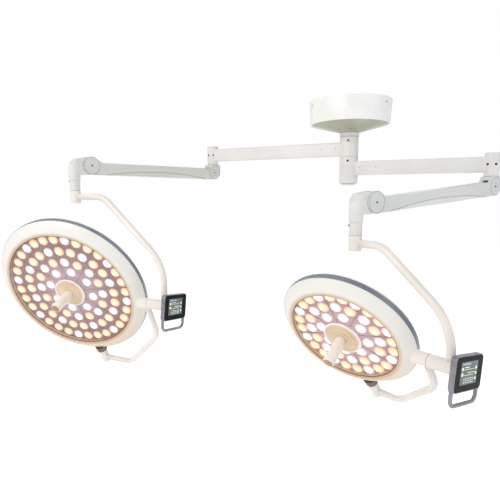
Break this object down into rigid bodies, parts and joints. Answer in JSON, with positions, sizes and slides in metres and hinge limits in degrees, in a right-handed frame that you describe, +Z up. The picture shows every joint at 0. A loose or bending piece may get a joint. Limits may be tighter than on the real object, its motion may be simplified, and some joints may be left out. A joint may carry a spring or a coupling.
{
  "type": "surgical light",
  "caption": "Ceiling surgical light: a round ceiling cover and spindle carry two jointed spring arms, each with a yoke and a round light head with many lenses, a control panel and a handle.",
  "frame": {"origin": "centre of the ceiling plate's upper face, where it is bolted to the ceiling", "axes": "+Z up into the ceiling along the spindle, +X and +Y level, with both arms spread roughly along X"},
  "size_m": [2.3374, 1.5739, 1.3335],
  "materials": {
    "white_paint": "satin powder coat, warm white",
    "arm_cover": "moulded grey cover",
    "belly_cover": "moulded light grey cover",
    "steel": "bare steel",
    "bronze": "sintered bronze",
    "black_oxide": "black screws and pins",
    "silver_case": "silver grey lacquer",
    "panel_glass": "black touch panel",
    "dark_boss": "dark grey casting",
    "slate_band": "slate blue-grey band",
    "clear_lens": "clear polycarbonate lens plate",
    "led_plate": "mauve brown carrier plate",
    "led_lens": "moulded light lenses",
    "tan_base": "tan moulded disc",
    "handle": "sterilisable handle"
  },
  "bodies": {
    "ceiling": {"ceiling_plate": "steel", "spindle": "steel", "canopy": "white_paint", "power_supply": "steel", "spindle_bushes": "bronze", "spindle_cap": "white_paint"},
    "left_arm": {"left_arm_hub": "white_paint", "left_arm_beam": "white_paint", "left_arm_knuckle": "white_paint", "left_arm_screws": "black_oxide"},
    "left_root": {"left_root_bracket": "arm_cover", "left_root_pin": "black_oxide"},
    "left_spring_arm": {"left_spring_cover": "arm_cover", "left_spring_belly": "belly_cover", "left_spring_core": "steel", "left_coil_spring": "steel", "left_end_pin": "black_oxide"},
    "left_end": {"left_end_bracket": "white_paint", "left_drop_tube": "white_paint"},
    "left_yoke": {"left_yoke": "white_paint"},
    "left_panel": {"left_panel_case": "silver_case", "left_panel_glass": "panel_glass", "left_panel_bail": "silver_case"},
    "left_inner": {"left_inner_arm": "white_paint"},
    "left_head": {"left_pivot_boss": "dark_boss", "left_rear_cover": "white_paint", "left_rim_band": "slate_band", "left_bezel": "white_paint", "left_lens_plate": "clear_lens", "left_led_plate": "led_plate", "left_led_lenses": "led_lens", "left_handle_base": "tan_base"},
    "left_sleeve": {"left_handle_sleeve": "handle"},
    "right_arm": {"right_arm_hub": "white_paint", "right_arm_beam": "white_paint", "right_arm_knuckle": "white_paint", "right_arm_screws": "black_oxide"},
    "right_root": {"right_root_bracket": "arm_cover", "right_root_pin": "black_oxide"},
    "right_spring_arm": {"right_spring_cover": "arm_cover", "right_spring_belly": "belly_cover", "right_spring_core": "steel", "right_coil_spring": "steel", "right_end_pin": "black_oxide"},
    "right_end": {"right_end_bracket": "white_paint", "right_drop_tube": "white_paint"},
    "right_yoke": {"right_yoke": "white_paint"},
    "right_panel": {"right_panel_case": "silver_case", "right_panel_glass": "panel_glass", "right_panel_bail": "silver_case"},
    "right_inner": {"right_inner_arm": "white_paint"},
    "right_head": {"right_pivot_boss": "dark_boss", "right_rear_cover": "white_paint", "right_rim_band": "slate_band", "right_bezel": "white_paint", "right_lens_plate": "clear_lens", "right_led_plate": "led_plate", "right_led_lenses": "led_lens", "right_handle_base": "tan_base"},
    "right_sleeve": {"right_handle_sleeve": "handle"}
  },
  "joints": [
    {"name": "left_arm_yaw", "type": "hinge", "parent": "ceiling", "child": "left_arm", "pos_m": [0, 0, -0.236], "axis": [0, 0, 1], "range_deg": [-120, 6]},
    {"name": "left_spring_yaw", "type": "hinge", "parent": "left_arm", "child": "left_root", "pos_m": [-0.73844, 0.36336, -0.236], "axis": [0, 0, 1], "range_deg": [-150, 8]},
    {"name": "left_spring_lift", "type": "hinge", "parent": "left_root", "child": "left_spring_arm", "pos_m": [-0.74783, 0.35297, -0.337], "axis": [-0.742, 0.6704, 0], "range_deg": [-45, 20]},
    {"name": "left_end_level", "type": "hinge", "parent": "left_spring_arm", "child": "left_end", "pos_m": [-1.27479, -0.23022, -0.337], "axis": [-0.742, 0.6704, 0], "range_deg": [-21, 46]},
    {"name": "left_yoke_yaw", "type": "hinge", "parent": "left_end", "child": "left_yoke", "pos_m": [-1.32339, -0.28402, -0.454], "axis": [0, 0, 1], "range_deg": [-170, 170]},
    {"name": "left_tilt", "type": "hinge", "parent": "left_yoke", "child": "left_inner", "pos_m": [-1.3382, -0.27673, -0.943], "axis": [0.8973, -0.4415, 0], "range_deg": [-95, 75]},
    {"name": "left_head_turn", "type": "hinge", "parent": "left_inner", "child": "left_head", "pos_m": [-1.34515, -0.29087, -0.90842], "axis": [0.1831, 0.3721, -0.91], "range_deg": [-120, 120]},
    {"name": "left_panel_swivel", "type": "hinge", "parent": "left_yoke", "child": "left_panel", "pos_m": [-0.82855, -0.52751, -0.943], "axis": [0.8973, -0.4415, 0], "range_deg": [-30, 30]},
    {"name": "left_handle_pull", "type": "slide", "parent": "left_head", "child": "left_sleeve", "axis": [-0.1862, -0.8957, -0.4037], "range_m": [0, 0.12]},
    {"name": "right_arm_yaw", "type": "hinge", "parent": "ceiling", "child": "right_arm", "pos_m": [0, 0, -0.335], "axis": [0, 0, 1], "range_deg": [-5, 150]},
    {"name": "right_spring_yaw", "type": "hinge", "parent": "right_arm", "child": "right_root", "pos_m": [0.59219, -0.29139, -0.335], "axis": [0, 0, 1], "range_deg": [-10, 150]},
    {"name": "right_spring_lift", "type": "hinge", "parent": "right_root", "child": "right_spring_arm", "pos_m": [0.58046, -0.29904, -0.436], "axis": [-0.5461, 0.8377, 0], "range_deg": [-40, 24]},
    {"name": "right_end_level", "type": "hinge", "parent": "right_spring_arm", "child": "right_end", "pos_m": [-0.07568, -0.72677, -0.50177], "axis": [-0.5461, 0.8377, 0], "range_deg": [-25, 41]},
    {"name": "right_yoke_yaw", "type": "hinge", "parent": "right_end", "child": "right_yoke", "pos_m": [-0.13641, -0.76636, -0.61877], "axis": [0, 0, 1], "range_deg": [-170, 170]},
    {"name": "right_tilt", "type": "hinge", "parent": "right_yoke", "child": "right_inner", "pos_m": [-0.14616, -0.75305, -0.99177], "axis": [0.5906, -0.807, 0], "range_deg": [-95, 75]},
    {"name": "right_head_turn", "type": "hinge", "parent": "right_inner", "child": "right_head", "pos_m": [-0.15711, -0.76107, -0.97078], "axis": [0.4383, 0.3208, -0.8396], "range_deg": [-120, 120]},
    {"name": "right_panel_swivel", "type": "hinge", "parent": "right_yoke", "child": "right_panel", "pos_m": [0.12139, -1.1186, -0.99177], "axis": [0.5906, -0.807, 0], "range_deg": [-30, 30]},
    {"name": "right_handle_pull", "type": "slide", "parent": "right_head", "child": "right_sleeve", "axis": [-0.5311, -0.6612, -0.5299], "range_m": [0, 0.12]}
  ],
  "couplings": [
    {"joint": "left_end_level", "follows": "left_spring_lift", "ratio": -1},
    {"joint": "right_end_level", "follows": "right_spring_lift", "ratio": -1}
  ]
}
